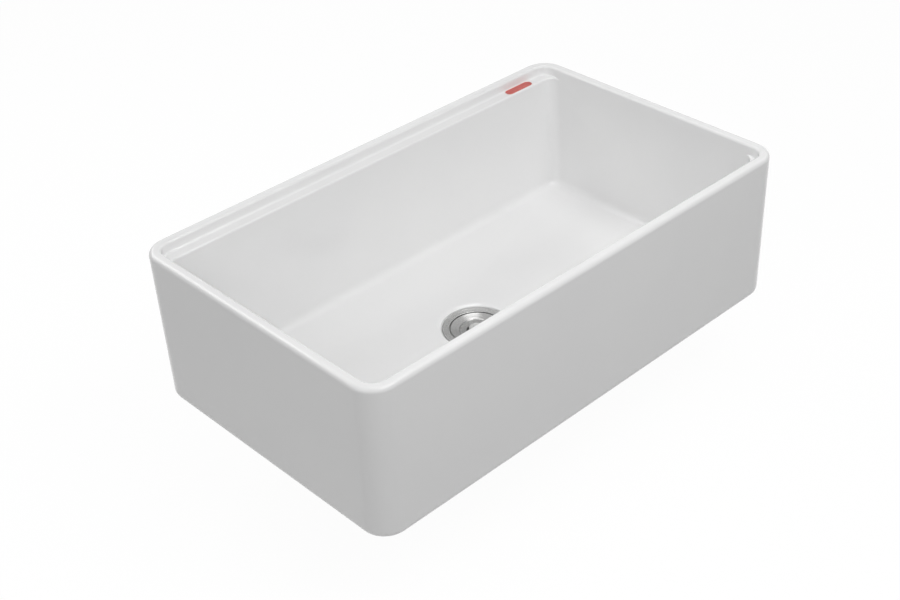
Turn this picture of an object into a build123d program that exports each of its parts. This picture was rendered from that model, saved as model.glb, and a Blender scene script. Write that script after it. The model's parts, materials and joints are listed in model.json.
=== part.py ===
from build123d import *
import os

os.makedirs("parts", exist_ok=True)

# Millimetres, +Z up. The origin is the centre of the basin's underside, on the drain's
# axis. X runs along the apron, and -Y is the front.

# ---------------------------------------------------------------- ceramic basin
basin_length = 840.0
basin_width = 500.0
basin_height = 254.0
wall_thickness = 18.0
outer_corner_radius = 40.0
rim_outer_round = 5.0
rim_inner_round = 4.0
base_round = 13.0

opening_corner_radius = 22.0
ledge_drop = 16.5  # rim to ledge
back_ledge_width = 19.5  # there are no ledges on the end walls
front_ledge_width = 13.0
ledge_nose_round = 3.0
ledge_cove_round = 3.5

bowl_corner_radius = 19.0
long_wall_taper = 6.5  # the front and the back wall lean in this far down to the floor
end_wall_taper = 2.0
floor_edge_height = 30.0
floor_fall = 8.0  # the floor runs down this far to the drain
floor_round = 14.0
slope_margin = 3.0  # flat strip between the floor's round and its slope
slope_corner_radius = 14.0
drain_flat = 3.0  # flat ring round the recess lip

recess_lip_round = 4.0  # the seat for the strainer's flange is this deep, and
recess_wall = 0.5  # this much deeper
recess_clearance = 2.0
drain_hole_radius = 45.0
underside_recess_depth = 3.0  # seat for the sealing washer
underside_recess_clearance = 3.0

# ---------------------------------------------------------------- strainer body
flange_radius = 54.5
flange_edge = 1.4
flange_edge_round = 0.6
flange_dish = 0.6  # the flange's face falls this far to the throat
flange_gasket_thickness = 1.0
flange_gasket_inset = 0.5
body_wall = 0.9
throat_radius = 42.6
throat_round = 1.8
shelf_depth = 5.0  # from the throat's edge down to the shelf that carries the basket
shelf_width = 2.2
sheet_bend = 0.8
cup_bend = 5.0
cup_floor_fall = 2.0
seat_ring_width = 6.5
outlet_radius = 21.5
outlet_wall = 2.1
outlet_length = 22.0
thread_spare = 8.0  # neck left below the locknut

# ---------------------------------------------------------------- seals, nuts and tailpiece
sealing_washer_radius = 56.0
sealing_washer_thickness = 3.5
friction_ring_thickness = 1.0
friction_ring_inset = 1.0
neck_clearance = 0.7
thread_clearance = 0.1

locknut_height = 12.0
locknut_radius = 51.0
locknut_flange_thickness = 2.5
locknut_lugs = 8
locknut_lug_reach = 4.5
locknut_lug_width = 11.0
locknut_lug_round = 1.2
thread_lead_in = 1.0

tailpiece_radius = 19.05
tailpiece_wall = 0.9
tailpiece_length = 100.0
tailpiece_flange_radius = 22.9
tailpiece_flange_thickness = 1.2
tailpiece_root_round = 1.5
tailpiece_washer_bore = 19.6
tailpiece_washer_radius = 23.4
tailpiece_washer_thickness = 2.0

slip_nut_flats = 55.0
slip_nut_cover = 12.0  # outlet thread inside the nut
slip_nut_lip = 3.0
slip_nut_lip_bore = 20.8
slip_nut_chamfer = 1.5

# ---------------------------------------------------------------- lift-out basket
basket_clearance = 0.8
basket_wall = 0.8
basket_rim_height = 4.8  # shelf to rim
basket_rim_land = 1.6
dish_fall = 2.7
dish_bottom_radius = 28.0
disc_step_fall = 1.2
disc_step_run = 1.0
well_radius = 16.0
well_taper = 1.5
well_edge_round = 1.0
well_side_slots = 12
well_slot_width = 3.0
well_slot_height = 12.0
well_slot_start = 4.0  # above the well's floor
well_floor_holes = 6
well_floor_hole_radius = 2.0

bush_barrel_radius = 4.6
bush_flange_radius = 6.8
bush_flange_thickness = 1.5
press_clearance = 0.05

# ---------------------------------------------------------------- stopper and its guide
stem_radius = 3.0
stem_point = 0.6
stem_tail = 3.5  # below the guide when the stopper is shut
running_clearance = 0.08
stopper_travel = 8.0
stopper_stop_gap = 0.5
seal_radius = 26.0
seal_thickness = 4.0
seal_edge_bevel = 1.2
stopper_plate_radius = 17.0
stopper_plate_thickness = 1.2
seal_washer_radius = 13.0
seal_washer_thickness = 1.2
stem_nut_flats = 10.0
stem_nut_height = 5.0
stem_nut_chamfer = 0.5

knob_radius = 12.5
knob_stand = 0.6  # knob's top above the basket's rim
knob_edge = 2.2
knob_edge_round = 1.0
knob_undercut = 1.0
knob_hub_radius = 6.0
knob_hub_length = 12.0
knob_thread_depth = 7.0
knob_bore_spare = 0.3  # bore left above the stem's end

guide_boss_radius = 6.5
guide_boss_height = 9.0
guide_stand = 3.0  # above the outlet's end
guide_ring_wall = 1.6
guide_arms = 3
guide_arm_width = 3.4
guide_arm_height = 4.0
outlet_fit = 0.1
catch_wire_radius = 0.7
catch_wire_gap = 0.3
catch_opening_angle = 60.0

# ---------------------------------------------------------------- worked-out places
opening_length = basin_length - 2 * wall_thickness
opening_width = basin_width - 2 * wall_thickness
bowl_width = opening_width - back_ledge_width - front_ledge_width
bowl_y = (front_ledge_width - back_ledge_width) / 2
ledge_z = basin_height - ledge_drop
floor_length = opening_length - 2 * end_wall_taper
floor_width = bowl_width - 2 * long_wall_taper
drain_floor_z = floor_edge_height - floor_fall
recess_depth = recess_lip_round + recess_wall
recess_z = drain_floor_z - recess_depth
recess_radius = flange_radius + recess_clearance
slope_inset = floor_round + slope_margin
slope_end_radius = recess_radius + recess_lip_round + drain_flat

flange_z = recess_z + flange_gasket_thickness
flange_top_z = flange_z + flange_edge
throat_z = flange_top_z - flange_dish
shelf_z = throat_z - shelf_depth
cup_radius = throat_radius - shelf_width
neck_radius = cup_radius + body_wall

sealing_washer_z = underside_recess_depth - sealing_washer_thickness
friction_ring_z = sealing_washer_z - friction_ring_thickness
locknut_z = friction_ring_z - locknut_height
cup_floor_z = locknut_z - thread_spare
seat_z = cup_floor_z - cup_floor_fall
seat_radius = outlet_radius + seat_ring_width
outlet_outer_radius = outlet_radius + outlet_wall
outlet_end_z = seat_z - outlet_length

tailpiece_top_z = outlet_end_z - tailpiece_washer_thickness
tailpiece_flange_z = tailpiece_top_z - tailpiece_flange_thickness
tailpiece_end_z = tailpiece_top_z - tailpiece_length
slip_nut_z = tailpiece_flange_z - slip_nut_lip
slip_nut_top_z = outlet_end_z + slip_nut_cover

stopper_plate_z = seat_z + seal_thickness
seal_washer_z = seat_z - seal_washer_thickness
stem_nut_z = seal_washer_z - stem_nut_height

# The bush in the well's floor stops the stopper at the top of its travel.
bush_z = stopper_plate_z + stopper_plate_thickness + stopper_travel + stopper_stop_gap
well_under_z = bush_z + bush_flange_thickness
well_floor_z = well_under_z + basket_wall
bush_hole_radius = bush_barrel_radius + press_clearance

basket_radius = throat_radius - basket_clearance
rim_z = shelf_z + basket_rim_height
dish_top_radius = basket_radius - basket_rim_land
dish_bottom_z = rim_z - dish_fall
disc_z = dish_bottom_z - disc_step_fall
disc_radius = dish_bottom_radius - disc_step_run
well_floor_radius = well_radius - well_taper

knob_top_z = rim_z + knob_stand
knob_hub_z = knob_top_z - knob_hub_length
stem_top_z = knob_hub_z + knob_thread_depth
guide_z = outlet_end_z + guide_stand
guide_top_z = guide_z + guide_boss_height
stem_end_z = guide_z - stem_tail
stem_bore_radius = stem_radius + running_clearance
stem_thread_radius = stem_radius + press_clearance


def rounded_outline(corners):
    """Closed outline through (radius, height, round) corners, for a revolved piece."""
    points = [(radius, height) for radius, height, _ in corners]
    FilletPolyline(points, radius=[bend for _, _, bend in corners], close=True)


def flat_ring(inner, outer):
    """Face of a plain ring."""
    Circle(outer)
    Circle(inner, mode=Mode.SUBTRACT)


# ================================================================ the basin
# The bowl's space narrows a little to its rounded floor edge. At the ledge it flares, which
# rounds the ledge's nose, and the end walls cut the flare off.
with BuildPart() as bowl_space:
    with BuildSketch(Plane.XY.offset(floor_edge_height)):
        with Locations((0, bowl_y)):
            RectangleRounded(floor_length, floor_width, bowl_corner_radius)
    with BuildSketch(Plane.XY.offset(ledge_z)):
        with Locations((0, bowl_y)):
            RectangleRounded(opening_length, bowl_width, bowl_corner_radius)
    loft(ruled=True)
    flare = 2 * ledge_nose_round
    flare_length = opening_length + 2 * flare
    flare_width = bowl_width + 2 * flare
    with BuildSketch(Plane.XY.offset(ledge_z)):
        with Locations((0, bowl_y)):
            RectangleRounded(flare_length, flare_width, bowl_corner_radius + flare)
    extrude(amount=ledge_nose_round)
    inner_loop = bowl_space.faces().filter_by(lambda face: len(face.inner_wires()) == 1)
    fillet(inner_loop[0].inner_wires()[0].edges(), radius=ledge_nose_round)
    fillet(bowl_space.edges().group_by(Axis.Z)[0], radius=floor_round)
    with BuildSketch(Plane.XY.offset(floor_edge_height)):
        Rectangle(opening_length, opening_width)
    extrude(amount=ledge_z - floor_edge_height, mode=Mode.INTERSECT)
    # the same plan goes on up through the rim
    with BuildSketch(Plane.XY.offset(ledge_z)):
        with Locations((0, bowl_y)):
            RectangleRounded(opening_length, bowl_width, bowl_corner_radius)
    extrude(amount=ledge_drop)

# The wider opening above the two ledges, with a cove along their outer edges.
with BuildPart() as ledge_space:
    with BuildSketch(Plane.XY.offset(ledge_z)):
        RectangleRounded(opening_length, opening_width, opening_corner_radius)
    extrude(amount=ledge_drop)
    fillet(ledge_space.edges().group_by(Axis.Z)[0], radius=ledge_cove_round)

# The floor's fall, from its edge down to the flat ring round the drain.
with BuildPart() as slope_space:
    slope_length = floor_length - 2 * slope_inset
    slope_width = floor_width - 2 * slope_inset
    with BuildSketch(Plane.XY.offset(floor_edge_height)):
        with Locations((0, bowl_y)):
            RectangleRounded(slope_length, slope_width, slope_corner_radius)
    with BuildSketch(Plane.XY.offset(drain_floor_z)):
        side = 2 * slope_end_radius
        RectangleRounded(side, side, slope_end_radius - drain_flat)
    loft(ruled=True)

with BuildPart() as basin:
    with BuildSketch():
        RectangleRounded(basin_length, basin_width, outer_corner_radius)
    extrude(amount=basin_height)
    add(bowl_space.part, mode=Mode.SUBTRACT)
    add(ledge_space.part, mode=Mode.SUBTRACT)
    add(slope_space.part, mode=Mode.SUBTRACT)
    with BuildSketch(Plane.XY.offset(recess_z)):
        Circle(recess_radius)
    extrude(amount=recess_depth, mode=Mode.SUBTRACT)
    with BuildSketch():
        Circle(drain_hole_radius)
    extrude(amount=recess_z, mode=Mode.SUBTRACT)
    with BuildSketch():
        Circle(sealing_washer_radius + underside_recess_clearance)
    extrude(amount=underside_recess_depth, mode=Mode.SUBTRACT)

    rim = basin.faces().sort_by(Axis.Z)[-1]
    fillet(rim.outer_wire().edges(), radius=rim_outer_round)
    rim = basin.faces().sort_by(Axis.Z)[-1]
    fillet(rim.inner_wires()[0].edges(), radius=rim_inner_round)
    underside = basin.faces().sort_by(Axis.Z)[0]
    fillet(underside.outer_wire().edges(), radius=base_round)
    drain_flat_low = drain_floor_z - recess_wall
    drain_flat_high = drain_floor_z + recess_wall
    drain_flats = basin.faces().filter_by_position(Axis.Z, drain_flat_low, drain_flat_high)
    fillet(drain_flats[0].inner_wires()[0].edges(), radius=recess_lip_round)
basin.part.label = "sink_basin"
export_step(basin.part, "parts/sink_basin.step")

# ================================================================ the drain, held in the basin
# Pressed cup: flange, throat, basket shelf, threaded neck, floor with its seat, outlet.
with BuildPart() as strainer_body:
    with BuildSketch(Plane.XZ):
        with BuildLine():
            rounded_outline([
                (flange_radius, flange_z, 0),
                (flange_radius, flange_top_z, flange_edge_round),
                (throat_radius, throat_z, throat_round),
                (throat_radius, shelf_z, 0),
                (cup_radius, shelf_z, 0),
                (cup_radius, cup_floor_z, cup_bend),
                (seat_radius, seat_z, 0),
                (outlet_radius, seat_z, sheet_bend),
                (outlet_radius, outlet_end_z, 0),
                (outlet_outer_radius, outlet_end_z, 0),
                (outlet_outer_radius, seat_z - body_wall, 0),
                (seat_radius, seat_z - body_wall, 0),
                (neck_radius, cup_floor_z - body_wall, cup_bend + body_wall),
                (neck_radius, shelf_z - body_wall, 0),
                (throat_radius + body_wall, shelf_z - body_wall, 0),
                (throat_radius + body_wall, flange_z, 0),
            ])
        make_face()
    revolve(axis=Axis.Z)
strainer_body.part.label = "strainer_body"
export_step(strainer_body.part, "parts/strainer_body.step")

# Soft ring bedded in the recess under the flange.
with BuildPart() as flange_gasket:
    with BuildSketch(Plane.XY.offset(recess_z)):
        flat_ring(drain_hole_radius + flange_gasket_inset, flange_radius - flange_gasket_inset)
    extrude(amount=flange_gasket_thickness)
flange_gasket.part.label = "flange_gasket"
export_step(flange_gasket.part, "parts/flange_gasket.step")

# Thick rubber washer pressed up against the ceramic from below.
with BuildPart() as sealing_washer:
    with BuildSketch(Plane.XY.offset(sealing_washer_z)):
        flat_ring(neck_radius + neck_clearance, sealing_washer_radius)
    extrude(amount=sealing_washer_thickness)
sealing_washer.part.label = "sealing_washer"
export_step(sealing_washer.part, "parts/sealing_washer.step")

# Thin fibre ring that lets the locknut turn without dragging the rubber.
with BuildPart() as friction_ring:
    with BuildSketch(Plane.XY.offset(friction_ring_z)):
        flat_ring(neck_radius + neck_clearance, sealing_washer_radius - friction_ring_inset)
    extrude(amount=friction_ring_thickness)
friction_ring.part.label = "friction_ring"
export_step(friction_ring.part, "parts/friction_ring.step")

# Large locknut: a broad flange over a barrel with spanner lugs.
with BuildPart() as locknut:
    with BuildSketch(Plane.XY.offset(locknut_z)):
        Circle(locknut_radius)
        with PolarLocations(locknut_radius, locknut_lugs):
            RectangleRounded(2 * locknut_lug_reach, locknut_lug_width, locknut_lug_round)
    extrude(amount=locknut_height - locknut_flange_thickness)
    with BuildSketch(Plane.XY.offset(friction_ring_z - locknut_flange_thickness)):
        Circle(locknut_radius + locknut_lug_reach)
    extrude(amount=locknut_flange_thickness)
    with BuildSketch(Plane.XY.offset(locknut_z)):
        Circle(neck_radius + thread_clearance)
    extrude(amount=locknut_height, mode=Mode.SUBTRACT)
    barrel_end = locknut.faces().sort_by(Axis.Z)[0]
    chamfer(barrel_end.inner_wires()[0].edges(), length=thread_lead_in)
locknut.part.label = "locknut"
export_step(locknut.part, "parts/locknut.step")

# Bridge across the outlet, with a boss that guides the stem.
with BuildPart() as stem_guide:
    with BuildSketch(Plane.XY.offset(guide_z)):
        ring_outer = outlet_radius - outlet_fit
        ring_inner = ring_outer - guide_ring_wall
        flat_ring(ring_inner, ring_outer)
        arm_end = ring_inner + guide_ring_wall / 2
        with PolarLocations(arm_end / 2, guide_arms):
            Rectangle(arm_end, guide_arm_width)
    extrude(amount=guide_arm_height)
    with BuildSketch(Plane.XY.offset(guide_z)):
        Circle(guide_boss_radius)
    extrude(amount=guide_boss_height)
    with BuildSketch(Plane.XY.offset(guide_z)):
        Circle(stem_bore_radius)
    extrude(amount=guide_boss_height, mode=Mode.SUBTRACT)
stem_guide.part.label = "stem_guide"
export_step(stem_guide.part, "parts/stem_guide.step")

# Open wire ring on the boss, which grips the stem so that the stopper stays up.
with BuildPart() as catch_spring:
    catch_radius = stem_radius + catch_wire_gap + catch_wire_radius
    with BuildLine(Plane.XY.offset(guide_top_z + catch_wire_radius)) as catch_path:
        turn = 360 - catch_opening_angle
        CenterArc((0, 0), catch_radius, catch_opening_angle / 2, turn)
    with BuildSketch(Plane(catch_path.line @ 0, z_dir=catch_path.line % 0)):
        Circle(catch_wire_radius)
    sweep()
catch_spring.part.label = "catch_spring"
export_step(catch_spring.part, "parts/catch_spring.step")

# Flat washer between the outlet's end and the tailpiece's flange.
with BuildPart() as tailpiece_washer:
    with BuildSketch(Plane.XY.offset(tailpiece_top_z)):
        flat_ring(tailpiece_washer_bore, tailpiece_washer_radius)
    extrude(amount=tailpiece_washer_thickness)
tailpiece_washer.part.label = "tailpiece_washer"
export_step(tailpiece_washer.part, "parts/tailpiece_washer.step")

# Flanged tube that the trap slips onto.
with BuildPart() as tailpiece:
    tailpiece_bore = tailpiece_radius - tailpiece_wall
    mouth_round = tailpiece_root_round + tailpiece_wall
    with BuildSketch(Plane.XZ):
        with BuildLine():
            rounded_outline([
                (tailpiece_bore, tailpiece_end_z, 0),
                (tailpiece_radius, tailpiece_end_z, 0),
                (tailpiece_radius, tailpiece_flange_z, tailpiece_root_round),
                (tailpiece_flange_radius, tailpiece_flange_z, 0),
                (tailpiece_flange_radius, tailpiece_top_z, 0),
                (tailpiece_bore, tailpiece_top_z, mouth_round),
            ])
        make_face()
    revolve(axis=Axis.Z)
tailpiece.part.label = "tailpiece"
export_step(tailpiece.part, "parts/tailpiece.step")

# Hexagonal slip nut: its lip pulls the tailpiece's flange up against the outlet.
with BuildPart() as slip_nut:
    with BuildSketch(Plane.XY.offset(slip_nut_z)):
        RegularPolygon(slip_nut_flats / 2, 6, major_radius=False)
    extrude(amount=slip_nut_top_z - slip_nut_z)
    nut_ends = slip_nut.edges().group_by(Axis.Z)
    chamfer(nut_ends[0] + nut_ends[-1], length=slip_nut_chamfer)
    with BuildSketch(Plane.XY.offset(slip_nut_z)):
        Circle(slip_nut_lip_bore)
    extrude(amount=slip_nut_lip, mode=Mode.SUBTRACT)
    with BuildSketch(Plane.XY.offset(tailpiece_flange_z)):
        Circle(outlet_outer_radius + thread_clearance)
    extrude(amount=slip_nut_top_z - tailpiece_flange_z, mode=Mode.SUBTRACT)
slip_nut.part.label = "slip_nut"
export_step(slip_nut.part, "parts/slip_nut.step")

# ================================================================ the lift-out basket
# One pressing: a skirt that stands on the shelf, the dish, a flat disc and the well.
with BuildPart() as strainer_basket:
    with BuildSketch(Plane.XZ):
        with BuildLine():
            rounded_outline([
                (basket_radius, shelf_z, 0),
                (basket_radius, rim_z, sheet_bend),
                (dish_top_radius, rim_z, 0),
                (dish_bottom_radius, dish_bottom_z, 0),
                (disc_radius, disc_z, 0),
                (well_radius, disc_z, well_edge_round),
                (well_floor_radius, well_floor_z, sheet_bend),
                (bush_hole_radius, well_floor_z, 0),
                (bush_hole_radius, well_under_z, 0),
                (well_floor_radius + basket_wall, well_under_z, 0),
                (well_radius + basket_wall, disc_z - basket_wall, 0),
                (disc_radius, disc_z - basket_wall, 0),
                (dish_bottom_radius, dish_bottom_z - basket_wall, 0),
                (dish_top_radius, rim_z - basket_wall, 0),
                (basket_radius - basket_wall, rim_z - basket_wall, 0),
                (basket_radius - basket_wall, shelf_z, 0),
            ])
        make_face()
    revolve(axis=Axis.Z)
    with BuildSketch(Plane.XY.offset(well_floor_z + well_slot_start)):
        slot_reach = well_taper + 2 * basket_wall
        with PolarLocations(well_radius, well_side_slots):
            Rectangle(2 * slot_reach, well_slot_width)
    extrude(amount=well_slot_height, mode=Mode.SUBTRACT)
    with BuildSketch(Plane.XY.offset(well_under_z)):
        with PolarLocations((bush_flange_radius + well_floor_radius) / 2, well_floor_holes):
            Circle(well_floor_hole_radius)
    extrude(amount=basket_wall, mode=Mode.SUBTRACT)
strainer_basket.part.label = "strainer_basket"
export_step(strainer_basket.part, "parts/strainer_basket.step")

# Plastic bush in the well's floor, in which the stem slides.
with BuildPart() as basket_bush:
    with BuildSketch(Plane.XY.offset(bush_z)):
        flat_ring(stem_bore_radius, bush_flange_radius)
    extrude(amount=bush_flange_thickness)
    with BuildSketch(Plane.XY.offset(well_under_z)):
        flat_ring(stem_bore_radius, bush_barrel_radius)
    extrude(amount=basket_wall)
    with BuildSketch(Plane.XY.offset(well_floor_z)):
        flat_ring(stem_bore_radius, bush_flange_radius)
    extrude(amount=bush_flange_thickness)
basket_bush.part.label = "basket_bush"
export_step(basket_bush.part, "parts/basket_bush.step")

# ================================================================ the stopper, on its stem
with BuildPart() as stem:
    with BuildSketch(Plane.XY.offset(stem_end_z)):
        Circle(stem_radius)
    extrude(amount=stem_top_z - stem_end_z)
    chamfer(stem.edges().group_by(Axis.Z)[0], length=stem_point)
    chamfer(stem.edges().group_by(Axis.Z)[-1], length=stem_point)
stem.part.label = "stem"
export_step(stem.part, "parts/stem.step")

# Low round knob with an undercut for the fingers, screwed onto the stem.
with BuildPart() as knob:
    knob_under_z = knob_top_z - knob_edge
    knob_bore_z = stem_top_z + knob_bore_spare
    with BuildSketch(Plane.XZ):
        with BuildLine():
            rounded_outline([
                (0, knob_top_z, 0),
                (knob_radius, knob_top_z, knob_edge_round),
                (knob_radius, knob_under_z, 0),
                (knob_hub_radius, knob_under_z + knob_undercut, knob_edge_round),
                (knob_hub_radius, knob_hub_z, 0),
                (stem_thread_radius, knob_hub_z, 0),
                (stem_thread_radius, knob_bore_z, 0),
                (0, knob_bore_z, 0),
            ])
        make_face()
    revolve(axis=Axis.Z)
knob.part.label = "knob"
export_step(knob.part, "parts/knob.step")

# Steel plate on top of the rubber.
with BuildPart() as stopper_plate:
    with BuildSketch(Plane.XY.offset(stopper_plate_z)):
        flat_ring(stem_thread_radius, stopper_plate_radius)
    extrude(amount=stopper_plate_thickness)
    plate_top = stopper_plate.faces().sort_by(Axis.Z)[-1]
    chamfer(plate_top.outer_wire().edges(), length=stopper_plate_thickness / 2)
stopper_plate.part.label = "stopper_plate"
export_step(stopper_plate.part, "parts/stopper_plate.step")

# Rubber disc that closes the outlet.
with BuildPart() as stopper_seal:
    with BuildSketch(Plane.XY.offset(seat_z)):
        flat_ring(stem_thread_radius, seal_radius)
    extrude(amount=seal_thickness)
    seal_faces = stopper_seal.faces().filter_by(Plane.XY)
    for seal_face in seal_faces:
        chamfer(seal_face.outer_wire().edges(), length=seal_edge_bevel)
stopper_seal.part.label = "stopper_seal"
export_step(stopper_seal.part, "parts/stopper_seal.step")

# Steel washer under the rubber, inside the outlet.
with BuildPart() as seal_washer:
    with BuildSketch(Plane.XY.offset(seal_washer_z)):
        flat_ring(stem_thread_radius, seal_washer_radius)
    extrude(amount=seal_washer_thickness)
seal_washer.part.label = "seal_washer"
export_step(seal_washer.part, "parts/seal_washer.step")

# Nut that clamps plate, rubber and washer together.
with BuildPart() as stem_nut:
    with BuildSketch(Plane.XY.offset(stem_nut_z)):
        RegularPolygon(stem_nut_flats / 2, 6, major_radius=False)
    extrude(amount=stem_nut_height)
    chamfer(stem_nut.edges().group_by(Axis.Z)[0], length=stem_nut_chamfer)
    with BuildSketch(Plane.XY.offset(stem_nut_z)):
        Circle(stem_thread_radius)
    extrude(amount=stem_nut_height, mode=Mode.SUBTRACT)
stem_nut.part.label = "stem_nut"
export_step(stem_nut.part, "parts/stem_nut.step")
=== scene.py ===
import bpy
import json
import math
from mathutils import Matrix, Vector, noise

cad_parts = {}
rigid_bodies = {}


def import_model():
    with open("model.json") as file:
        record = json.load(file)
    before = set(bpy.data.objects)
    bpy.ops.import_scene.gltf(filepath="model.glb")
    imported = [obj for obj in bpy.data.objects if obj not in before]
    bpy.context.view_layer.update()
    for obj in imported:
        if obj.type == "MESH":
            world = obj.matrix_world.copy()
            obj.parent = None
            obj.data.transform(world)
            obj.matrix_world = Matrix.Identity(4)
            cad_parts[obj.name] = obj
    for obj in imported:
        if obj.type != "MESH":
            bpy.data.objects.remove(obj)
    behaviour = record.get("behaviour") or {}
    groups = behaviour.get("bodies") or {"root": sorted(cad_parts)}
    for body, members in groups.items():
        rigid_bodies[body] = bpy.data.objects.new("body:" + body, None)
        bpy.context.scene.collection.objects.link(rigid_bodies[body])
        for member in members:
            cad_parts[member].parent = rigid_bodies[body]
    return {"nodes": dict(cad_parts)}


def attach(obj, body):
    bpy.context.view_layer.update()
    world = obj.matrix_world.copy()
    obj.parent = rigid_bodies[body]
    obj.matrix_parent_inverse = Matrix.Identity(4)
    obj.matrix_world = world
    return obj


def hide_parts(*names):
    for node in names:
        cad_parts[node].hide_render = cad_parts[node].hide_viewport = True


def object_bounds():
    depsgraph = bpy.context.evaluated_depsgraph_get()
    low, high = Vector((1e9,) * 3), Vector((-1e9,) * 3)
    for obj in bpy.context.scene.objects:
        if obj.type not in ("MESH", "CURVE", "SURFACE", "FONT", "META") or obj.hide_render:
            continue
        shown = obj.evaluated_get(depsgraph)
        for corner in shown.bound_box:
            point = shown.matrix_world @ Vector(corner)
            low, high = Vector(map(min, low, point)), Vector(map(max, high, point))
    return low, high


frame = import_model()
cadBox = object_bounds()
nodesOf = frame["nodes"]
print("frame loaded:", len(nodesOf), "nodes")

# The frame is in metres: the origin is the centre of the basin's underside, Z is up, and
# the apron faces -Y. Sizes in the dictionaries are millimetres and go through mm.
mm = 0.001


# ---- meshes

def meshObject(name, points, faces, sharpAngle=None):
    mesh = bpy.data.meshes.new(name)
    mesh.from_pydata(points, [], faces)
    mesh.validate()
    mesh.shade_smooth()
    if sharpAngle:
        mesh.set_sharp_from_angle(angle=math.radians(sharpAngle))
    made = bpy.data.objects.new(name, mesh)
    bpy.context.scene.collection.objects.link(made)
    return made


def ringSkin(name, rings, sharpAngle, closed=True):
    # joins rings of points, in mm, into one skin: a loop of rings, or a row with flat ends
    count = len(rings[0])
    points = [(x * mm, y * mm, z * mm) for ring in rings for x, y, z in ring]
    faces = []
    for row in range(len(rings) if closed else len(rings) - 1):
        after = (row + 1) % len(rings)
        for column in range(count):
            beside = (column + 1) % count
            here, there = row * count, after * count
            faces.append((here + column, here + beside, there + beside, there + column))
    if not closed:
        last = (len(rings) - 1) * count
        faces.append(tuple(reversed(range(count))))
        faces.append(tuple(range(last, last + count)))
    return meshObject(name, points, faces, sharpAngle)


def arcSteps(count):
    # angles of a quarter turn, both ends included
    return [math.pi / 2 * step / count for step in range(count + 1)]


def spread(count, edge):
    # shares from 0 to 1, ends left out, with the first and last close to the ends so that
    # a flat keeps its shading flat right up to its rounds
    return [edge + (1 - 2 * edge) * step / (count - 1) for step in range(count)]


# ---- node trees

class NodeTree:
    # a short way to add nodes and join their sockets
    def __init__(self, tree):
        self.tree = tree

    def add(self, kind, inputs=None, **settings):
        node = self.tree.nodes.new(kind)
        for key, value in settings.items():
            setattr(node, key, value)
        for key, value in (inputs or {}).items():
            if isinstance(value, bpy.types.NodeSocket):
                self.tree.links.new(value, node.inputs[key])
            else:
                node.inputs[key].default_value = value
        return node

    def link(self, output, socket):
        self.tree.links.new(output, socket)

    def math(self, operation, first, second=0.0, clamp=False):
        return self.add("ShaderNodeMath", {0: first, 1: second}, operation=operation, use_clamp=clamp).outputs[0]

    def ramp(self, factor, stops):
        node = self.add("ShaderNodeValToRGB", {0: factor})
        band = node.color_ramp
        while len(band.elements) < len(stops):
            band.elements.new(0.5)
        for element, (place, colour) in zip(band.elements, stops):
            element.position = place
            element.color = (*colour, 1.0)
        return node.outputs["Color"]

    def range(self, value, fromLow, fromHigh, toLow, toHigh):
        return self.add("ShaderNodeMapRange", {0: value, 1: fromLow, 2: fromHigh, 3: toLow, 4: toHigh}).outputs[0]

    def mix(self, share, first, second):
        return self.add("ShaderNodeMix", {0: share, 6: first, 7: second}, data_type="RGBA").outputs[2]

    def noise(self, place, scale, detail=3.0, roughness=0.5, flat=False):
        sockets = {"Vector": place, "Scale": scale, "Detail": detail, "Roughness": roughness}
        return self.add("ShaderNodeTexNoise", sockets, noise_dimensions="2D" if flat else "3D").outputs["Fac"]

    def bump(self, height, strength, distance, below=None):
        sockets = {"Height": height, "Strength": strength, "Distance": distance}
        if below is not None:
            sockets["Normal"] = below
        return self.add("ShaderNodeBump", sockets).outputs["Normal"]


def newMaterial(name, colour, roughness, metallic=0.0, **sockets):
    material = bpy.data.materials.new(name)
    material.use_nodes = True
    material.diffuse_color = (*colour, 1.0)
    nodes = NodeTree(material.node_tree)
    shader = material.node_tree.nodes["Principled BSDF"]
    shader.inputs["Base Color"].default_value = (*colour, 1.0)
    shader.inputs["Roughness"].default_value = roughness
    shader.inputs["Metallic"].default_value = metallic
    for socket, value in sockets.items():
        shader.inputs[socket.replace("_", " ")].default_value = value
    place = nodes.add("ShaderNodeTexCoord").outputs["Object"]
    return material, nodes, shader, place


# ---- camera, lamps and floor

view = {
    "place": (-1.26993, -1.34472, 1.33785),
    "azimuth": -43.466,
    "elevation": 36.744,
    "roll": -2.133,
    "lens": 57.694,
    "pictureWidth": 900,
    "shift": (-30.05, 58.85),  # pixels of that picture
    "sensor": 36.0,
    "clip": (0.05, 50.0),
}


def makeCamera():
    data = bpy.data.cameras.new("photoCamera")
    data.sensor_width = view["sensor"]
    data.lens = view["lens"]
    data.shift_x, data.shift_y = [shift / view["pictureWidth"] for shift in view["shift"]]
    data.clip_start, data.clip_end = view["clip"]
    camera = bpy.data.objects.new("photoCamera", data)
    turn = Matrix.Rotation(math.radians(view["azimuth"]), 4, "Z")
    tilt = Matrix.Rotation(math.radians(90 - view["elevation"]), 4, "X")
    roll = Matrix.Rotation(math.radians(view["roll"]), 4, "Z")
    camera.matrix_world = Matrix.Translation(view["place"]) @ turn @ tilt @ roll
    bpy.context.scene.collection.objects.link(camera)
    bpy.context.scene.camera = camera


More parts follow.
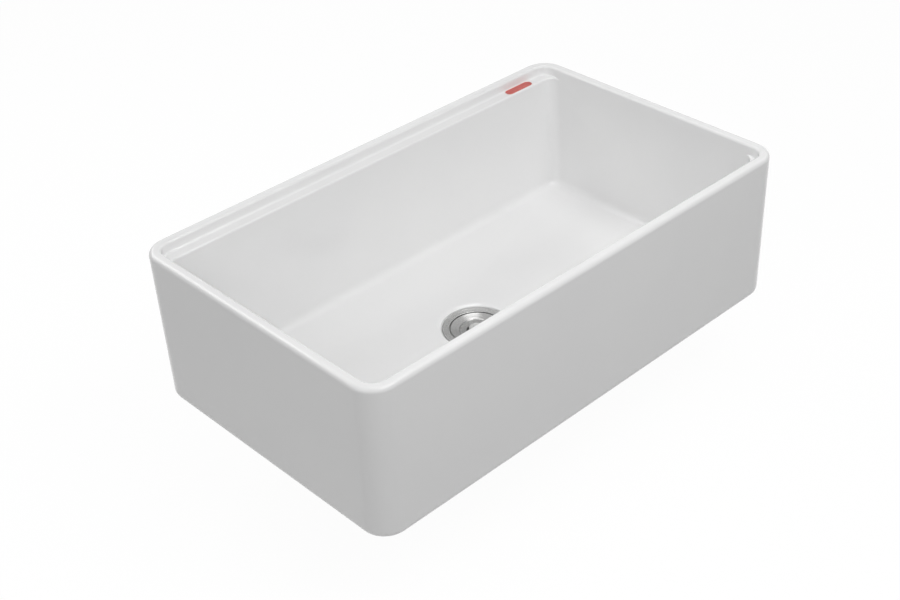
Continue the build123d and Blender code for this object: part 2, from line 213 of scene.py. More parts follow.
studio = {
    "skyLevel": 0.13,
    "floorColour": (0.6, 0.6, 0.6),
    "shadowDepth": 0.05,
    "shadowShare": 0.8,  # the white gives up this share of the shadow's depth
    "floorSize": 12.0,
    "floorDrop": 0.5,  # below the part's lowest point, in mm
    "lamps": {
        "overBowl": {"place": (-0.05, -0.02, 1.1), "aim": (0.0, 0.0, 0.1), "size": (0.8, 0.5), "power": 0.15},
        "overFront": {"place": (0.1, -0.5, 1.2), "aim": (0.0, 0.1, 0.1), "size": (0.8, 0.3), "power": 1.8},
        "top": {"place": (0.0, 0.0, 2.6), "aim": (0.0, 0.0, 0.1), "size": (2.4, 2.0), "power": 6.3},
        "frontHigh": {"place": (0.2, -1.6, 2.3), "aim": (0.0, 0.0, 0.1), "size": (1.6, 1.2), "power": 25.0},
        "frontLeft": {"place": (-1.5, -1.7, 1.6), "aim": (0.0, 0.0, 0.1), "size": (1.4, 1.2), "power": 5.8},
        "left": {"place": (-2.2, -0.5, 1.5), "aim": (0.0, 0.0, 0.1), "size": (1.4, 1.2), "power": 10.6},
        "behind": {"place": (-0.3, 1.8, 1.6), "aim": (0.0, 0.0, 0.1), "size": (1.6, 1.2), "power": 13.5},
        "right": {"place": (2.2, -0.4, 1.5), "aim": (0.0, 0.0, 0.1), "size": (1.4, 1.2), "power": 4.2},
        "glint": {"place": (0.67, 0.59, 1.35), "aim": (0.0, 0.0, 0.1), "size": (0.24, 0.24), "power": 0.7},
    },
}


def addLamp(name, lamp):
    data = bpy.data.lights.new(name, "AREA")
    data.shape = "RECTANGLE"
    data.size, data.size_y = lamp["size"]
    data.energy = lamp["power"]
    made = bpy.data.objects.new(name, data)
    aim = Vector(lamp["aim"]) - Vector(lamp["place"])
    made.rotation_euler = aim.to_track_quat("-Z", "Y").to_euler()
    made.location = lamp["place"]
    bpy.context.scene.collection.objects.link(made)


def whiteRays(nodes):
    # 1 where the camera, a reflection or glass looks straight at the surface
    path = nodes.add("ShaderNodeLightPath")
    seen = nodes.math("MAXIMUM", path.outputs["Is Camera Ray"], path.outputs["Is Glossy Ray"])
    return nodes.math("MAXIMUM", seen, path.outputs["Is Transmission Ray"])


def makeWorld():
    world = bpy.data.worlds.new("paleStudio")
    bpy.context.scene.world = world
    world.use_nodes = True
    nodes = NodeTree(world.node_tree)
    world.node_tree.nodes.clear()
    level = nodes.range(whiteRays(nodes), 0.0, 1.0, studio["skyLevel"], 1.0)
    sky = nodes.add("ShaderNodeBackground", {"Color": (1.0, 1.0, 1.0, 1.0), "Strength": level})
    nodes.add("ShaderNodeOutputWorld", {"Surface": sky.outputs[0]})


def makeFloor(level):
    half = studio["floorSize"] / 2
    corners = [(-half, -half, level), (half, -half, level), (half, half, level), (-half, half, level)]
    floor = meshObject("studioFloor", corners, [(0, 1, 2, 3)])
    material = bpy.data.materials.new("paleFloor")
    material.use_nodes = True
    nodes = NodeTree(material.node_tree)
    material.node_tree.nodes.clear()
    # plain pale paint for the light, and white with the object's soft shadow for the eye
    paint = nodes.add("ShaderNodeBsdfDiffuse", {"Color": (*studio["floorColour"], 1.0)})
    depth = studio["shadowDepth"]
    shadow = nodes.add("ShaderNodeBsdfDiffuse", {"Color": (depth, depth, depth, 1.0)})
    glow = 1.0 - studio["shadowShare"] * depth
    white = nodes.add("ShaderNodeEmission", {"Color": (1.0, 1.0, 1.0, 1.0), "Strength": glow})
    seen = nodes.add("ShaderNodeAddShader", {0: shadow.outputs[0], 1: white.outputs[0]})
    mixed = nodes.add("ShaderNodeMixShader", {0: whiteRays(nodes), 1: paint.outputs[0], 2: seen.outputs[0]})
    nodes.add("ShaderNodeOutputMaterial", {"Surface": mixed.outputs[0]})
    floor.data.materials.append(material)


makeCamera()
makeWorld()
for lampName, lamp in studio["lamps"].items():
    addLamp(lampName, lamp)
makeFloor(cadBox[0].z - studio["floorDrop"] * mm)
bpy.context.scene.view_settings.view_transform = "Standard"
print("camera, lamps and floor ready")


# ---- the glazed basin: one closed skin of rings that run round it in plan

basin = {
    "halfLength": 420.0,
    "halfWidth": 250.0,
    "height": 254.0,
    "wall": 18.0,
    "outerCorner": 40.0,
    "rimOuterRound": 7.0,
    "rimInnerRound": 4.5,
    "frontEase": 1.2,  # the front wall's rim is this much thinner
    "baseRound": 13.0,
    "openingCorner": 22.0,
    "bowlCorner": 19.0,
    "frontCornerMore": 5.0,  # the front corners open out this much to the ledge
    "backLedge": 19.5,
    "frontLedge": 13.0,
    "ledgeDrop": 16.5,
    "noseRound": 3.0,
    "coveRound": 3.5,
    "longTaper": 6.5,  # the bowl's walls lean in this far down to the floor
    "endTaper": 2.0,
    "floorEdge": 30.0,
    "drainFloor": 22.0,
    "floorRound": 14.0,
    "slopeInset": 17.0,
    "slopeCorner": 14.0,
    "slopeEase": 0.035,  # how softly the floor's fall starts and ends
    # the recess lip's section: radius, and fall below the floor
    "lip": ((66.0, 0.0), (63.0, 0.2), (60.2, 0.72), (57.9, 1.24), (57.2, 1.5), (56.75, 2.0), (56.5, 2.8)),
    "recessRadius": 56.5,
    "recessFloor": 17.5,
    "drainFlat": 3.0,
    "holeRadius": 45.0,
    "recessFootRound": 0.4,
    "recessFootRise": 0.2,
    "holeEase": 0.5,
    "washerSeatRadius": 59.0,
    "washerSeatDepth": 3.0,
    "waviness": 0.35,  # how far the fired walls wander, always into the body
    "waveLength": 170.0,
    "calmTop": 10.0,  # no wander this far down from the rim's top,
    "calmReach": 30.0,  # and full wander this much further from an edge
    "ledgeStart": 0.1,  # the ledges die into the end walls from here
    "ledgeBlend": 1.2,  # over this length
    "longSteps": 44,
    "shortSteps": 28,
    "cornerSteps": 14,
    "floorSteps": 28,
    "straightEdge": 0.004,
}
turnOf = {"long": 34.0, "short": 26.0, "corner": 60.0}  # degrees of a circle under each part of a ring


def planSpans():
    # the parts of a ring, counter-clockwise from the right end, with their steps
    ends, sides, corner = basin["shortSteps"], basin["longSteps"], basin["cornerSteps"]
    half = [("short", ends), ("corner", corner), ("long", sides), ("corner", corner)]
    return half + half


def spanShares(kind, steps):
    if kind == "corner":
        return [step / steps for step in range(steps)]
    return [0.0] + spread(steps - 1, basin["straightEdge"])


def roundedPlan(halfX, halfY, corner, middleY=0.0, frontCorner=None):
    front = frontCorner or corner
    x, y, frontX, frontY = halfX - corner, halfY - corner, halfX - front, halfY - front
    corners = [corner, corner, front, front]
    centres = [(x, y), (-x, y), (-frontX, -frontY), (frontX, -frontY)]
    starts = [(halfX, -frontY), (x, halfY), (-halfX, y), (-frontX, -halfY)]
    ends = [(halfX, y), (-x, halfY), (-halfX, -frontY), (frontX, -halfY)]
    ring = []
    for index, (kind, steps) in enumerate(planSpans()):
        side = index // 2
        for share in spanShares(kind, steps):
            if kind == "corner":
                angle = math.radians(90 * (side + share))
                centre, radius = centres[side], corners[side]
                ring.append((centre[0] + radius * math.cos(angle), centre[1] + radius * math.sin(angle)))
            else:
                ring.append(Vector(starts[side]).lerp(Vector(ends[side]), share)[:])
    return [(x, y + middleY) for x, y in ring]


def circlePlan(radius):
    ring = []
    angle = -turnOf["short"] / 2
    for kind, steps in planSpans():
        for share in spanShares(kind, steps):
            here = math.radians(angle + turnOf[kind] * share)
            ring.append((radius * math.cos(here), radius * math.sin(here)))
        angle += turnOf[kind]
    return ring


def between(first, second, share):
    return [(a[0] + (b[0] - a[0]) * share, a[1] + (b[1] - a[1]) * share) for a, b in zip(first, second)]


def smoothRow(corners, steps):
    # a smooth row of points through the given ones
    row = []
    last = len(corners) - 1
    for index in range(last):
        around = [Vector(corners[min(max(index + step, 0), last)]) for step in (-1, 0, 1, 2)]
        for step in range(steps):
            t = step / steps
            away = (around[2] - around[0]) * t
            away += (2 * around[0] - 5 * around[1] + 4 * around[2] - around[3]) * t**2
            away += (3 * around[1] - around[0] - 3 * around[2] + around[3]) * t**3
            row.append((around[1] + away / 2)[:])
    return row + [corners[last]]


def basinRings():
    b = basin
    halfX, halfY, top = b["halfLength"], b["halfWidth"], b["height"]
    openX, openY = halfX - b["wall"], halfY - b["wall"]
    bowlY = openY - (b["backLedge"] + b["frontLedge"]) / 2
    bowlMiddle = (b["frontLedge"] - b["backLedge"]) / 2
    ledge = top - b["ledgeDrop"]
    rings = []

    def level(plan, z):
        rings.append([(x, y, z) for x, y in plan])

    def outer(inset):
        return roundedPlan(halfX - inset, halfY - inset, b["outerCorner"] - inset)

    def around(out):
        ease = b["frontEase"] / 2
        return roundedPlan(openX + out, openY + ease + out, b["openingCorner"] + out, -ease)

    def bowlPlan(z, inset=0.0, corner=b["bowlCorner"]):
        lean = max(0.0, ledge - z) / (ledge - b["floorEdge"])
        long, end = inset + lean * b["longTaper"], inset + lean * b["endTaper"]
        front = corner + b["frontCornerMore"] * (1 - lean)
        return roundedPlan(openX - end, bowlY - long, corner, bowlMiddle, front)

    # underside, from the washer's seat to the base round
    seat, foot = circlePlan(b["washerSeatRadius"]), outer(b["baseRound"])
    for share in [0.0] + spread(9, 0.012) + [1.0]:
        level(between(seat, foot, share), 0.0)
    # base round and the outer wall
    for angle in arcSteps(9)[1:]:
        level(outer(b["baseRound"] * (1 - math.sin(angle))), b["baseRound"] * (1 - math.cos(angle)))
    wallTop = top - b["rimOuterRound"]
    for share in spread(24, 0.004):
        level(outer(0.0), b["baseRound"] + (wallTop - b["baseRound"]) * share)
    # rim
    for angle in arcSteps(9):
        level(outer(b["rimOuterRound"] * (1 - math.cos(angle))), wallTop + b["rimOuterRound"] * math.sin(angle))
    inner = b["rimInnerRound"]
    for share in spread(4, 0.06):
        level(between(outer(b["rimOuterRound"]), around(inner), share), top)
    for angle in arcSteps(8):
        level(around(inner * (1 - math.sin(angle))), top - inner * (1 - math.cos(angle)))
    # ledge: its cove, flat and nose. The end walls have none, so there the rings only go down.
    cove, nose = b["coveRound"], b["noseRound"]
    profile = [("cove", cove * (1 - math.cos(angle)), cove * (1 - math.sin(angle))) for angle in arcSteps(7)]
    profile += [("flat", share, 0.0) for share in spread(4, 0.03)]
    profile += [("nose", nose * (1 - math.sin(angle)), -nose * (1 - math.cos(angle))) for angle in arcSteps(8)]
    opening, bowl = around(0.0), bowlPlan(ledge - nose)
    for step, (part, across, rise) in enumerate(profile):
        down = step / (len(profile) - 1)
        ring = []
        for wallPoint, bowlPoint in zip(opening, bowl):
            width = math.dist(wallPoint, bowlPoint)
            reach = max(width, 1.0)
            flatShare = (cove + (width - cove - nose) * across) / reach
            share = {"cove": across / reach, "flat": flatShare, "nose": 1 - across / reach}[part]
            fromEnd = max(0.0, openX - b["ledgeStart"] - abs(bowlPoint[0]))
            onLedge = min(1.0, fromEnd / b["ledgeBlend"])
            onLedge *= onLedge * (3 - 2 * onLedge)
            share = down + (share - down) * onLedge
            plainDrop = cove - (cove + nose) * down
            x, y = between([wallPoint], [bowlPoint], share)[0]
            ring.append((x, y, ledge + plainDrop + (rise - plainDrop) * onLedge))
        rings.append(ring)
    # bowl wall and the round at the floor
    wallHigh, wallLow = ledge - nose, b["floorEdge"] + b["floorRound"]
    for share in spread(20, 0.005):
        z = wallHigh + (wallLow - wallHigh) * share
        level(bowlPlan(z), z)
    shrink = (b["bowlCorner"] - b["slopeCorner"]) / b["slopeInset"]
    for angle in arcSteps(11):
        inset = b["floorRound"] * (1 - math.cos(angle))
        plan = bowlPlan(wallLow, inset, b["bowlCorner"] - shrink * inset)
        level(plan, b["floorEdge"] + b["floorRound"] * (1 - math.sin(angle)))
    # floor: it falls to the flat round the drain
    edge = bowlPlan(b["floorEdge"], b["slopeInset"], b["slopeCorner"])
    drain = circlePlan(b["lip"][0][0] + b["drainFlat"])
    fall = b["floorEdge"] - b["drainFloor"]
    for step in range(b["floorSteps"] + 1):
        share = step / b["floorSteps"]
        eased = share - b["slopeEase"] * math.sin(2 * math.pi * share)
        level(between(edge, drain, share), b["floorEdge"] - fall * eased)
    # drain recess and hole
    for radius, fall in smoothRow(b["lip"], 4):
        level(circlePlan(radius), b["drainFloor"] - fall)
    ease = b["holeEase"]
    for radius, z in (
        (b["recessRadius"], b["recessFloor"] + b["recessFootRise"]),
        (b["recessRadius"] - b["recessFootRound"], b["recessFloor"]),
        (b["holeRadius"] + ease, b["recessFloor"]),
        (b["holeRadius"], b["recessFloor"] - ease),
        (b["holeRadius"], b["washerSeatDepth"]),
        (b["washerSeatRadius"] - ease, b["washerSeatDepth"]),
        (b["washerSeatRadius"], b["washerSeatDepth"] - ease),
    ):
        level(circlePlan(radius), z)
    return rings


def firedWander(point):
    # the outer walls wander a little in the kiln, into the body and nil near the edges
    x, y, z = point
    sideX, sideY = basin["halfLength"] - abs(x), basin["halfWidth"] - abs(y)
    if min(sideX, sideY) > 0.01:
        return point
    slow = 0.5 + 0.5 * noise.noise(Vector((x, 1.3 * y, 1.6 * z)) / basin["waveLength"])
    nearEdge = min(z - basin["baseRound"], basin["height"] - basin["calmTop"] - z)
    calm = max(0.0, min(1.0, nearEdge / basin["calmReach"]))
    move = slow * basin["waviness"] * calm
    if sideX < sideY:
        return x - math.copysign(move, x), y, z
    return x, y - math.copysign(move, y), z


def makeBasin():
    rings = [[firedWander(point) for point in ring] for ring in basinRings()]
    return ringSkin("glazedBasin", rings, sharpAngle=50)


glaze = {
    "colour": (0.86, 0.86, 0.86),
    "thinColour": (0.85, 0.85, 0.852),
    "thickColour": (0.87, 0.87, 0.868),
    "speckColour": (0.42, 0.39, 0.34),
    "roughness": 0.11,
    "coat": 0.15,
    "coatRoughness": 0.04,
    "clayColour": (0.66, 0.62, 0.55),
    "grogColour": (0.5, 0.46, 0.4),
}


def glazeMaterial():
    material, nodes, shader, place = newMaterial(
        "whiteGlaze", glaze["colour"], glaze["roughness"], IOR=1.45, Coat_Weight=glaze["coat"],
        Coat_Roughness=glaze["coatRoughness"], Coat_IOR=1.5,
    )
    # the glaze pools a little, so its white drifts slowly, and a few pin specks show close to
    shade = nodes.ramp(nodes.noise(place, 5.0, 2.0), [(0.3, glaze["thinColour"]), (0.7, glaze["thickColour"])])
    pins = nodes.add("ShaderNodeTexVoronoi", {"Vector": place, "Scale": 38.0}).outputs["Distance"]
    here = nodes.range(nodes.noise(place, 9.0, 1.0), 0.56, 0.6, 0.0, 1.0)
    speck = nodes.math("MULTIPLY", nodes.range(pins, 0.012, 0.02, 0.35, 0.0), here, clamp=True)
    glazed = nodes.mix(speck, shade, (*glaze["speckColour"], 1.0))
    # the foot is wiped clean before firing and stays bare clay
    height = nodes.add("ShaderNodeSeparateXYZ", {0: place}).outputs["Z"]
    ragged = nodes.math("MULTIPLY", nodes.noise(place, 60.0), 1.6 * mm)
    bare = nodes.range(nodes.math("SUBTRACT", height, ragged), 0.3 * mm, 0.9 * mm, 1.0, 0.0)
    grain = nodes.noise(place, 900.0, 4.0, 0.7)
    clay = nodes.ramp(grain, [(0.3, glaze["grogColour"]), (0.65, glaze["clayColour"])])
    nodes.link(nodes.mix(bare, glazed, clay), shader.inputs["Base Color"])
    dull = glaze["roughness"]
    gloss = nodes.range(nodes.noise(place, 14.0, 4.0), 0.3, 0.7, dull - 0.03, dull + 0.05)
    worn = nodes.math("MAXIMUM", gloss, nodes.math("MULTIPLY", bare, 0.85))
    nodes.link(worn, shader.inputs["Roughness"])
    # slow waves of the fired wall, then the glaze's fine orange peel
    waves = nodes.bump(nodes.noise(place, 16.0, 1.0), 0.12, 1.2 * mm)
    nodes.link(nodes.bump(nodes.noise(place, 420.0, 2.0), 0.05, 0.12 * mm, waves), shader.inputs["Normal"])
    return material


glazedBasin = makeBasin()
glazedBasin.data.materials.append(glazeMaterial())
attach(glazedBasin, "sink")
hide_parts("sink_basin")
print("basin skin:", len(glazedBasin.data.polygons), "faces")


# ---- turned and plated metal

steel = {
    "anisotropy": 0.65,
    "lines": 2600.0,  # turning lines, to the metre
    "lineDepth": 0.02,
    "flange": {"colour": (0.43, 0.43, 0.425), "roughness": 0.27},
    "basket": {"colour": (0.36, 0.36, 0.355), "roughness": 0.21},
    "knob": {"colour": (0.56, 0.56, 0.555), "roughness": 0.24},
    "stem": {"colour": (0.5, 0.5, 0.49), "roughness": 0.3},
    "plate": {"colour": (0.5, 0.5, 0.49), "roughness": 0.34},
}


def aroundAxis(nodes, place):
    # radius and height of a point, for lines that a lathe leaves round the drain's axis
    parts = nodes.add("ShaderNodeSeparateXYZ", {0: place}).outputs
    flat = nodes.add("ShaderNodeCombineXYZ", {0: parts["X"], 1: parts["Y"]}).outputs[0]
    radius = nodes.add("ShaderNodeVectorMath", {0: flat}, operation="LENGTH").outputs["Value"]
    return nodes.add("ShaderNodeCombineXYZ", {0: radius, 1: parts["Z"]}).outputs[0]


def turnedSteel(name, finish):
    material, nodes, shader, place = newMaterial(
        name, finish["colour"], finish["roughness"], metallic=1.0, Anisotropic=steel["anisotropy"],
        Anisotropic_Rotation=0.25,
    )
    rings = aroundAxis(nodes, place)
    lines = nodes.noise(rings, steel["lines"], 3.0, 0.65, flat=True)
    broad = nodes.noise(rings, steel["lines"] / 9, 2.0, flat=True)
    smudge = nodes.noise(place, 45.0, 4.0, 0.6)
    low = tuple(0.9 * channel for channel in finish["colour"])
    high = tuple(min(1.0, 1.08 * channel) for channel in finish["colour"])
    nodes.link(nodes.ramp(lines, [(0.25, low), (0.75, high)]), shader.inputs["Base Color"])
    base = nodes.range(broad, 0.3, 0.7, finish["roughness"] - 0.05, finish["roughness"] + 0.06)
    worn = nodes.math("ADD", base, nodes.range(smudge, 0.4, 0.75, 0.0, 0.07))
    nodes.link(worn, shader.inputs["Roughness"])
    nodes.link(nodes.bump(lines, 0.35, steel["lineDepth"] * mm), shader.inputs["Normal"])
    tangent = nodes.add("ShaderNodeTangent", direction_type="RADIAL", axis="Z").outputs[0]
    nodes.link(tangent, shader.inputs["Tangent"])
    return material


chrome = {"colour": (0.72, 0.72, 0.73), "roughness": 0.06}


def platedChrome():
    dull = chrome["roughness"]
    material, nodes, shader, place = newMaterial("platedChrome", chrome["colour"], dull, metallic=1.0)
    smudge = nodes.noise(place, 60.0, 5.0, 0.6)
    nodes.link(nodes.range(smudge, 0.35, 0.75, dull, dull + 0.1), shader.inputs["Roughness"])
    polish = nodes.noise(aroundAxis(nodes, place), 1500.0, 2.0, flat=True)
    nodes.link(nodes.bump(polish, 0.06, 0.02 * mm), shader.inputs["Normal"])
    return material


brass = {"colour": (0.6, 0.43, 0.2), "dullColour": (0.4, 0.28, 0.14), "roughness": 0.34}


def castBrass():
    dull = brass["roughness"]
    material, nodes, shader, place = newMaterial("castBrass", brass["colour"], dull, metallic=1.0)
    tarnish = nodes.noise(place, 70.0, 6.0, 0.6)
    stain = nodes.ramp(tarnish, [(0.3, brass["dullColour"]), (0.62, brass["colour"])])
    nodes.link(stain, shader.inputs["Base Color"])
    nodes.link(nodes.range(tarnish, 0.3, 0.7, dull + 0.16, dull), shader.inputs["Roughness"])
    sand = nodes.bump(nodes.noise(place, 1800.0, 3.0, 0.6), 0.4, 0.06 * mm)
    turned = nodes.bump(nodes.noise(aroundAxis(nodes, place), 1700.0, 2.0, flat=True), 0.25, 0.03 * mm, sand)
    nodes.link(turned, shader.inputs["Normal"])
    return material


# ---- rubber, fibre and plastic

soft = {
    "greyGasket": {"colour": (0.45, 0.45, 0.44), "roughness": 0.62},
    "blackRubber": {"colour": (0.035, 0.035, 0.036), "roughness": 0.55},
    "fibreBoard": {"colour": (0.42, 0.3, 0.2), "roughness": 0.85},
    "whiteNylon": {"colour": (0.8, 0.8, 0.77), "roughness": 0.42},
}


def mouldedMaterial(name, grain, grainDepth):
    finish = soft[name]
    material, nodes, shader, place = newMaterial(name, finish["colour"], finish["roughness"])
    cloud = nodes.noise(place, 120.0, 4.0, 0.6)
    low = tuple(0.86 * channel for channel in finish["colour"])
    high = tuple(min(1.0, 1.1 * channel + 0.004) for channel in finish["colour"])
    nodes.link(nodes.ramp(cloud, [(0.3, low), (0.7, high)]), shader.inputs["Base Color"])
    dull = nodes.range(cloud, 0.3, 0.7, finish["roughness"] - 0.06, finish["roughness"] + 0.06)
    nodes.link(dull, shader.inputs["Roughness"])
    nodes.link(nodes.bump(nodes.noise(place, grain, 4.0, 0.65), 0.4, grainDepth * mm), shader.inputs["Normal"])
    return material


flangeSteel = turnedSteel("flangeSteel", steel["flange"])
basketSteel = turnedSteel("basketSteel", steel["basket"])
knobSteel = turnedSteel("knobSteel", steel["knob"])
stemSteel = turnedSteel("stemSteel", steel["stem"])
plateSteel = turnedSteel("plateSteel", steel["plate"])
chromePlate = platedChrome()
brassCast = castBrass()
greyGasket = mouldedMaterial("greyGasket", 900.0, 0.03)
blackRubber = mouldedMaterial("blackRubber", 1400.0, 0.03)
fibreBoard = mouldedMaterial("fibreBoard", 2600.0, 0.08)
whiteNylon = mouldedMaterial("whiteNylon", 1600.0, 0.015)

finishOf = {
    "strainer_basket": basketSteel,
    "knob": knobSteel,
    "stem": stemSteel,
    "stopper_plate": plateSteel,
    "seal_washer": plateSteel,
    "stem_nut": plateSteel,
    "catch_spring": stemSteel,
    "flange_gasket": greyGasket,
    "sealing_washer": blackRubber,
    "stopper_seal": blackRubber,
    "friction_ring": fibreBoard,
    "locknut": brassCast,
    "stem_guide": whiteNylon,
    "basket_bush": whiteNylon,
    "tailpiece_washer": whiteNylon,
    "tailpiece": chromePlate,
    "slip_nut": chromePlate,
}
for nodeName, finish in finishOf.items():
    for materialSlot in nodesOf[nodeName].material_slots:
        materialSlot.material = finish
print("drain finishes:", len(finishOf), "nodes")


# ---- the strainer's body, turned again with crisper edges and the gap round the basket

strainer = {
    "segments": 160,
    "bendSteps": 5,
    # radius, height and round of each corner of the section, from the flange's foot inwards
    "section": (
        (54.45, 18.5, 0.0), (54.45, 19.9, 0.65), (52.6, 19.93, 0.5), (52.2, 19.78, 0.4), (45.0, 19.42, 1.0),
        (44.2, 19.5, 0.5), (43.15, 19.25, 0.35), (43.1, 14.35, 0.25), (40.4, 14.3, 0.5), (40.4, -21.5, 5.0),
        (28.0, -23.5, 0.6), (21.5, -23.5, 0.8), (21.5, -45.5, 0.3), (23.6, -45.5, 0.4), (23.6, -24.4, 0.6),
        (28.0, -24.4, 0.6), (41.3, -22.4, 5.9), (41.3, 13.4, 0.4), (43.5, 13.4, 0.4), (43.5, 18.5, 0.2),
    ),
}


def bentPath(corners, steps):
    # closed outline through the corners, each bent to its round
    path = []
    for index, (radius, height, bend) in enumerate(corners):
        here = Vector((radius, height))
        before = Vector(corners[index - 1][:2]) - here
        after = Vector(corners[(index + 1) % len(corners)][:2]) - here
        turn = before.angle(after)
        reach = min(bend / math.tan(turn / 2), 0.45 * before.length, 0.45 * after.length) if bend else 0.0
        if reach < 0.01:
            path.append(here[:])
            continue
        start, end = here + before.normalized() * reach, here + after.normalized() * reach
        for step in range(steps + 1):
            share = step / steps
            path.append((start.lerp(here, share)).lerp(here.lerp(end, share), share)[:])
    return path


def makeStrainer():
    path = bentPath(strainer["section"], strainer["bendSteps"])
    count = strainer["segments"]
    rings = []
    for radius, height in reversed(path):
        angles = [2 * math.pi * step / count for step in range(count)]
        rings.append([(radius * math.cos(angle), radius * math.sin(angle), height) for angle in angles])
    return ringSkin("turnedStrainer", rings, sharpAngle=40)


turnedStrainer = makeStrainer()
turnedStrainer.data.materials.append(flangeSteel)
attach(turnedStrainer, "sink")
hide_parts("strainer_body")
print("strainer body:", len(turnedStrainer.data.polygons), "faces")


# ---- screw threads, which Geometry Nodes wind as a ridge half sunk in the metal

threads = {
    "stepsPerTurn": 96,
    "neck": {"radius": 41.3, "low": -20.3, "high": -13.6, "pitch": 1.8, "depth": 0.62},
    "outlet": {"radius": 23.6, "low": -33.2, "high": -25.4, "pitch": 1.9, "depth": 0.7},
    "stemEnd": {"radius": 3.0, "low": -34.4, "high": -29.9, "pitch": 0.8, "depth": 0.24},
}


def threadTree(material):
    tree = bpy.data.node_groups.new("threadRidge", "GeometryNodeTree")
    tree.interface.new_socket("Geometry", in_out="OUTPUT", socket_type="NodeSocketGeometry")
    sockets = {}
    for name in ("Radius", "Low", "Height", "Turns", "Depth"):
        sockets[name] = tree.interface.new_socket(name, in_out="INPUT", socket_type="NodeSocketFloat").identifier
    nodes = NodeTree(tree)
    given = nodes.add("NodeGroupInput").outputs
    spiral = nodes.add("GeometryNodeCurveSpiral", {
        "Resolution": threads["stepsPerTurn"], "Rotations": given["Turns"], "Start Radius": given["Radius"],
        "End Radius": given["Radius"], "Height": given["Height"],
    })
    upright = nodes.add("GeometryNodeSetCurveNormal", {"Curve": spiral.outputs[0]}, mode="Z_UP")
    ridge = nodes.add("GeometryNodeCurvePrimitiveCircle", {"Resolution": 4, "Radius": given["Depth"]})
    wound = nodes.add("GeometryNodeCurveToMesh", {
        0: upright.outputs[0], "Profile Curve": ridge.outputs[0], "Fill Caps": True,
    })
    lift = nodes.add("ShaderNodeCombineXYZ", {2: given["Low"]})
    raised = nodes.add("GeometryNodeTransform", {"Geometry": wound.outputs[0], "Translation": lift.outputs[0]})
    real = nodes.add("GeometryNodeRealizeInstances", {0: raised.outputs[0]})
    finish = nodes.add("GeometryNodeSetMaterial", {"Geometry": real.outputs[0], "Material": material})
    end = nodes.add("NodeGroupOutput")
    nodes.link(finish.outputs[0], end.inputs[0])
    return tree, sockets


def makeThread(name, size, material, body):
    tree, sockets = threadTree(material)
    carrier = meshObject(name + "Carrier", [], [])
    modifier = carrier.modifiers.new("thread", "NODES")
    modifier.node_group = tree
    height = (size["high"] - size["low"]) * mm
    values = {
        "Radius": size["radius"] * mm, "Low": size["low"] * mm, "Height": height,
        "Turns": height / (size["pitch"] * mm), "Depth": size["depth"] * mm,
    }
    for socketName, value in values.items():
        modifier[sockets[socketName]] = value
    depsgraph = bpy.context.evaluated_depsgraph_get()
    mesh = bpy.data.meshes.new_from_object(carrier.evaluated_get(depsgraph))
    bpy.data.objects.remove(carrier)
    thread = bpy.data.objects.new(name, mesh)
    mesh.name = name
    bpy.context.scene.collection.objects.link(thread)
    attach(thread, body)
    return thread


neckThread = makeThread("neckThread", threads["neck"], flangeSteel, "sink")
outletThread = makeThread("outletThread", threads["outlet"], flangeSteel, "sink")
stemThread = makeThread("stemThread", threads["stemEnd"], stemSteel, "stopper")
print("threads wound:", len(neckThread.data.polygons), len(outletThread.data.polygons), len(stemThread.data.polygons))


# ---- the small red label on the back ledge

label = {
    "centre": (330.0, 223.0),
    "halfLength": 29.5,
    "halfWidth": 8.0,
    "corner": 7.4,
    "thickness": 0.18,
    "margin": 0.7,
    "curl": 0.5,
    "lift": 0.02,  # above the ledge, so that the two never share a face
    "red": (0.62, 0.12, 0.1),
    "deepRed": (0.53, 0.085, 0.07),
    "edge": (0.8, 0.72, 0.7),
}


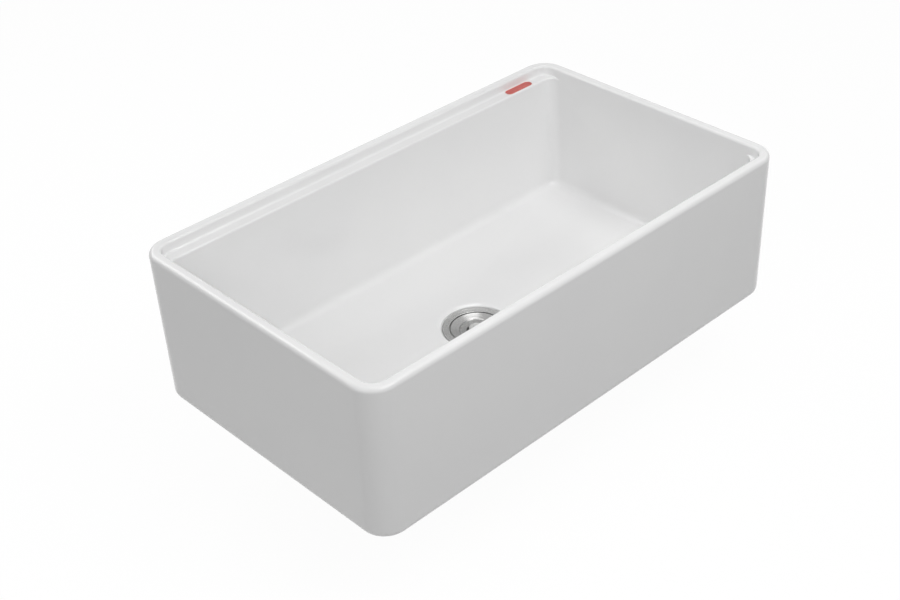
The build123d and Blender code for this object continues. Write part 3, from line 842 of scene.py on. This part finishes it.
def ledgeRise(y):
    # the label is draped over the back ledge's nose and a little way up its cove
    wall = basin["halfWidth"] - basin["wall"]
    overNose = max(0.0, wall - basin["backLedge"] + basin["noseRound"] - y)
    upCove = max(0.0, y - wall + basin["coveRound"])
    drop = basin["noseRound"] - math.sqrt(max(0.0, basin["noseRound"] ** 2 - overNose**2))
    return basin["coveRound"] - math.sqrt(max(0.0, basin["coveRound"] ** 2 - upCove**2)) - drop


def makeLabel():
    low = basin["height"] - basin["ledgeDrop"] + label["lift"]
    size = label
    rings = []

    def level(inset, z):
        plan = roundedPlan(size["halfLength"] - inset, size["halfWidth"] - inset, size["corner"] - inset)
        ring = []
        for x, y in plan:
            reach = max(0.0, (abs(x) - 0.7 * size["halfLength"]) / (0.3 * size["halfLength"]))
            lift = size["curl"] * reach**3 * (x > 0) + ledgeRise(size["centre"][1] + y)
            ring.append((size["centre"][0] + x, size["centre"][1] + y, z + lift))
        rings.append(ring)

    for inset in (4.5, 2.0, 0.0):
        level(inset, low)
    for inset in (0.0, 0.1):
        level(inset, low + size["thickness"] * (1 if inset else 0.6))
    for inset in (size["margin"], 2.5, 4.5):
        level(inset, low + size["thickness"])
    made = ringSkin("redLabel", rings, sharpAngle=60, closed=False)
    made.data.materials.append(labelMaterial("labelRed", size["red"], size["deepRed"]))
    made.data.materials.append(labelMaterial("labelEdge", size["edge"], size["edge"]))
    bound = size["halfWidth"] - size["margin"]
    for face in made.data.polygons:
        corner = size["corner"] - size["margin"]
        x = abs(face.center.x / mm - size["centre"][0]) - (size["halfLength"] - size["margin"] - corner)
        y = abs(face.center.y / mm - size["centre"][1]) - (bound - corner)
        away = math.hypot(max(x, 0.0), max(y, 0.0))
        face.material_index = 1 if away > corner or face.normal.z < 0.5 else 0
    return made


def labelMaterial(name, bright, deep):
    material, nodes, shader, place = newMaterial(name, bright, 0.4, Coat_Weight=0.3, Coat_Roughness=0.2)
    ink = nodes.ramp(nodes.noise(place, 150.0, 3.0), [(0.35, deep), (0.65, bright)])
    nodes.link(ink, shader.inputs["Base Color"])
    nodes.link(nodes.bump(nodes.noise(place, 90.0, 2.0), 0.3, 0.2 * mm), shader.inputs["Normal"])
    return material


redLabel = makeLabel()
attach(redLabel, "sink")
print("label laid:", len(redLabel.data.polygons), "faces")
